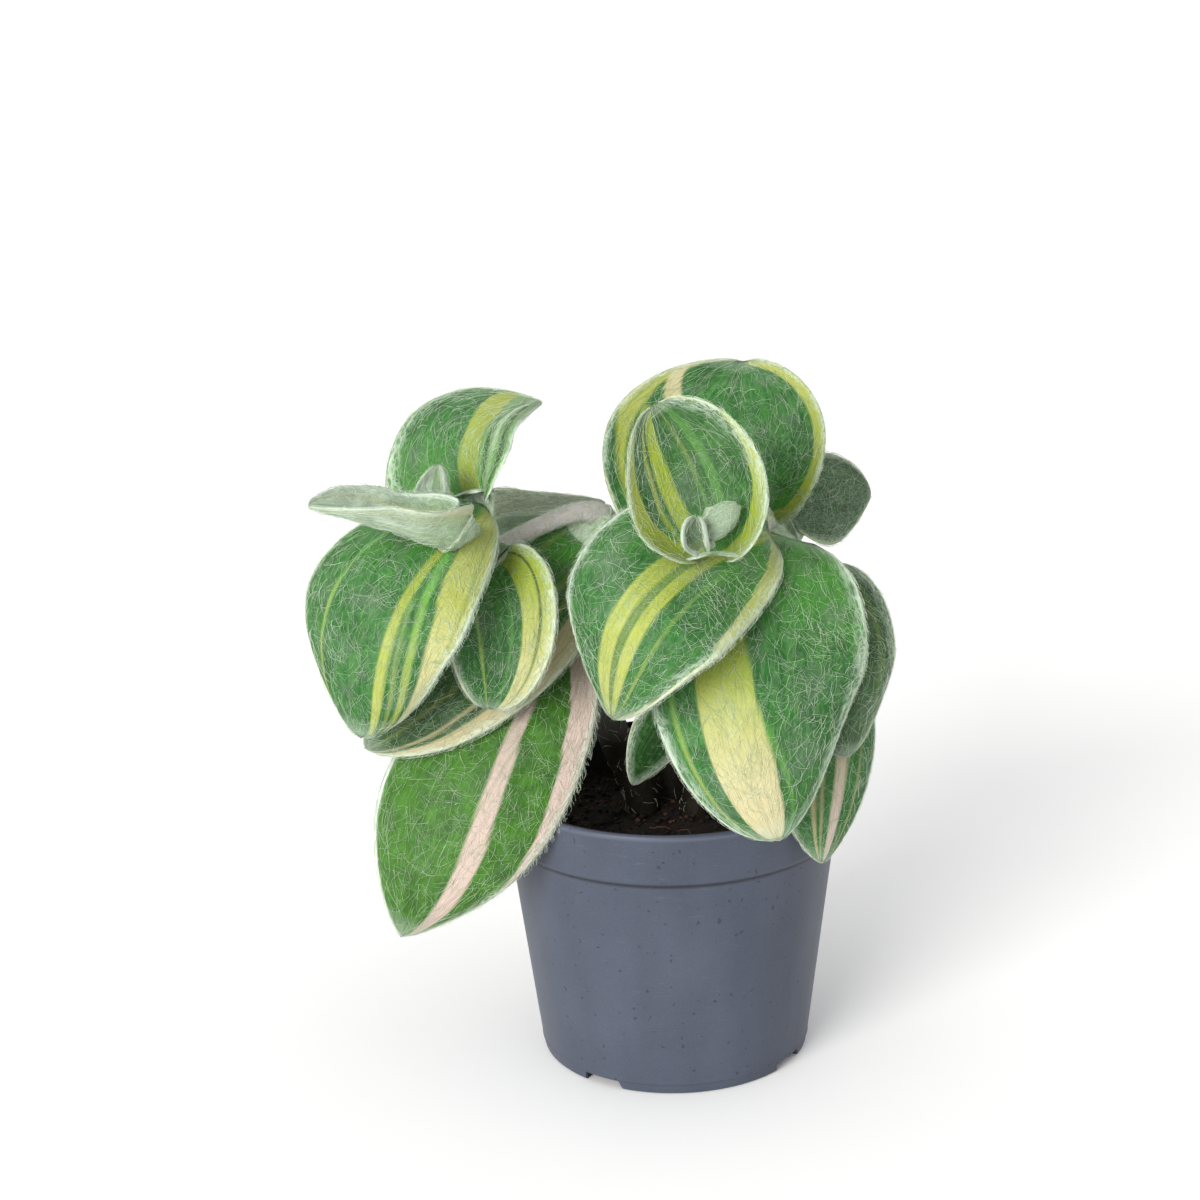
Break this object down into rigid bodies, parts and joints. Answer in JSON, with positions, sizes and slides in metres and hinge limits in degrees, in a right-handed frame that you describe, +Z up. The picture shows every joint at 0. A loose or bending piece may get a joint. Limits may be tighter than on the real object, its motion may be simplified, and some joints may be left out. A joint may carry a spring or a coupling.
{
  "type": "potted tradescantia",
  "caption": "Small trailing house plant with woolly, cream-striped leaves on shoots that arch out of a tapered nursery pot; stands on a shelf or windowsill.",
  "frame": {"origin": "centre of the pot's underside", "axes": "+Z up out of the pot; -Y is the front, where the hanging leaves face; +X to the right seen from the front"},
  "size_m": [0.0975, 0.0984, 0.124],
  "materials": {
    "pot_plastic": "satin moulded plastic, blue-grey",
    "potting_soil": "damp crumbly peat, dark brown",
    "woolly_stem": "fleshy stem under whitish wool",
    "variegated_leaf": "fleshy green leaf with cream stripes and fine white hairs",
    "young_leaf": "rolled pale leaf with dense white wool"
  },
  "bodies": {
    "root": {"pot": "pot_plastic", "soil": "potting_soil", "left_stem": "woolly_stem", "right_stem": "woolly_stem", "back_stem": "woolly_stem", "left_top_leaf": "variegated_leaf", "left_side_leaf": "variegated_leaf", "left_front_leaf": "variegated_leaf", "left_inner_leaf": "variegated_leaf", "left_under_leaf": "variegated_leaf", "left_hanging_leaf": "variegated_leaf", "left_back_leaf": "variegated_leaf", "left_rear_leaf": "variegated_leaf", "right_crown_leaf": "variegated_leaf", "right_back_leaf": "variegated_leaf", "right_arching_leaf": "variegated_leaf", "right_hanging_leaf": "variegated_leaf", "right_side_leaf": "variegated_leaf", "right_outer_leaf": "variegated_leaf", "right_low_leaf": "variegated_leaf", "right_small_leaf": "variegated_leaf", "right_rear_leaf": "variegated_leaf", "back_left_leaf": "variegated_leaf", "back_right_leaf": "variegated_leaf", "back_hanging_leaf": "variegated_leaf", "back_top_leaf": "variegated_leaf", "back_low_left_leaf": "variegated_leaf", "back_low_right_leaf": "variegated_leaf", "left_bud": "young_leaf", "right_bud": "young_leaf", "back_bud": "young_leaf"}
  },
  "joints": []
}
